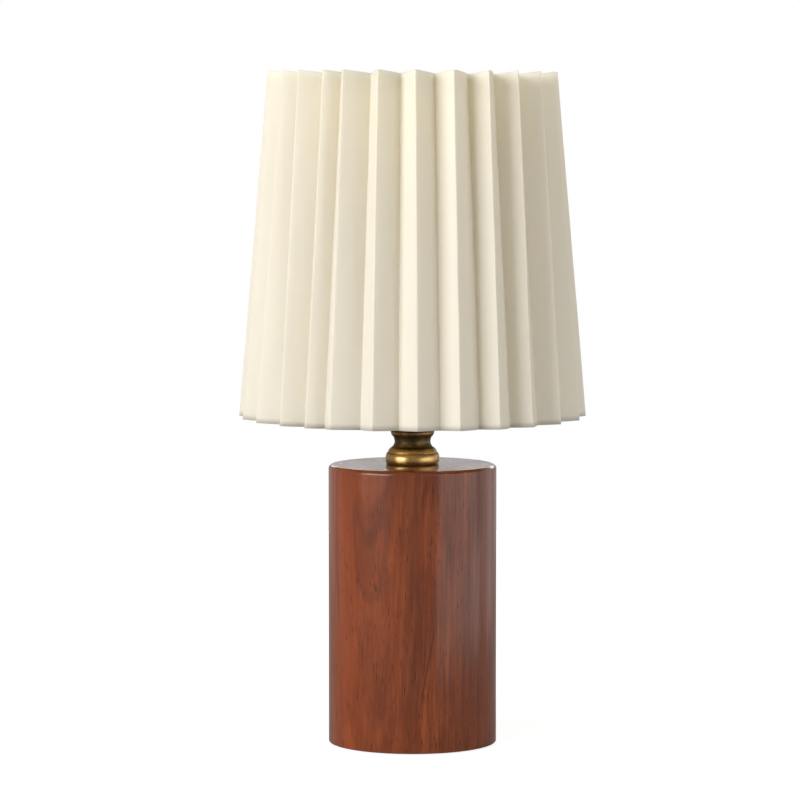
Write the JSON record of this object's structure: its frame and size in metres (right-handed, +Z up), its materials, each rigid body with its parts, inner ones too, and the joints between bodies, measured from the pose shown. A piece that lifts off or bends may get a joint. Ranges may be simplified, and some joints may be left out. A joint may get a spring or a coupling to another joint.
{
  "type": "table lamp",
  "caption": "Table lamp with a turned wooden cylinder base, a brass neck and a tapered pleated shade round a screw-in led bulb.",
  "frame": {"origin": "centre of the felt pad's underside, on the surface that the lamp stands on", "axes": "+Z up along the lamp's axis, -Y towards the front, so the cord outlet is at +Y"},
  "size_m": [0.2, 0.2, 0.387],
  "materials": {
    "walnut": "satin lacquer",
    "felt": "felt",
    "antique_brass": "aged, polished on the high places",
    "contact_brass": "bright",
    "zinc_steel": "zinc plated",
    "black_rubber": "matt",
    "porcelain": "unglazed",
    "black_phenolic": "moulded, half gloss",
    "white_wire": "white powder coat",
    "pleated_cloth": "ivory cloth laminated on film, pressed in sharp pleats",
    "nickel": "nickel plated",
    "bulb_glass_black": "black glass",
    "white_plastic": "satin",
    "opal_plastic": "opal, frosted",
    "aluminium_board": "white mask on aluminium",
    "led_phosphor": "yellow phosphor",
    "green_board": "circuit board"
  },
  "bodies": {
    "base": {"wood_base": "walnut", "base_pad": "felt", "cord_grommet": "black_rubber", "stem_tube": "zinc_steel", "stem_washer": "zinc_steel", "stem_lock_washer": "zinc_steel", "stem_nut": "zinc_steel", "brass_neck": "antique_brass", "holder_cap": "antique_brass", "cap_lock_screw": "zinc_steel", "holder_core": "porcelain", "holder_terminals": "contact_brass", "terminal_screws": "zinc_steel", "holder_screw_shell": "contact_brass", "holder_centre_contact": "contact_brass", "holder_sleeve": "black_phenolic"},
    "shade": {"fitter_ring": "white_wire", "fitter_spokes": "white_wire", "shade_bottom_ring": "white_wire", "shade_top_ring": "white_wire", "pleated_shade": "pleated_cloth"},
    "shade_ring": {"shade_ring": "black_phenolic"},
    "bulb_tip": {"bulb_contact": "contact_brass", "bulb_cap_insulator": "bulb_glass_black"},
    "bulb": {"bulb_cap": "nickel", "bulb_body": "white_plastic", "bulb_led_board": "aluminium_board", "bulb_leds": "led_phosphor", "bulb_driver_board": "green_board", "bulb_diffuser": "opal_plastic"}
  },
  "joints": [
    {"name": "shade_turn", "type": "hinge", "parent": "base", "child": "shade", "pos_m": [0, 0, 0.2081], "axis": [0, 0, 1], "continuous": true},
    {"name": "shade_ring_unscrew", "type": "slide", "parent": "base", "child": "shade_ring", "axis": [0, 0, 1], "range_m": [0, 0.018]},
    {"name": "bulb_rise", "type": "slide", "parent": "base", "child": "bulb_tip", "axis": [0, 0, 1], "range_m": [0, 0.0146]},
    {"name": "bulb_unscrew", "type": "hinge", "parent": "bulb_tip", "child": "bulb", "pos_m": [0, 0, 0.2171], "axis": [0, 0, 1], "range_deg": [0, 1440]}
  ],
  "couplings": [
    {"joint": "bulb_rise", "follows": "bulb_unscrew", "m_per_rad": 0.00057773}
  ]
}
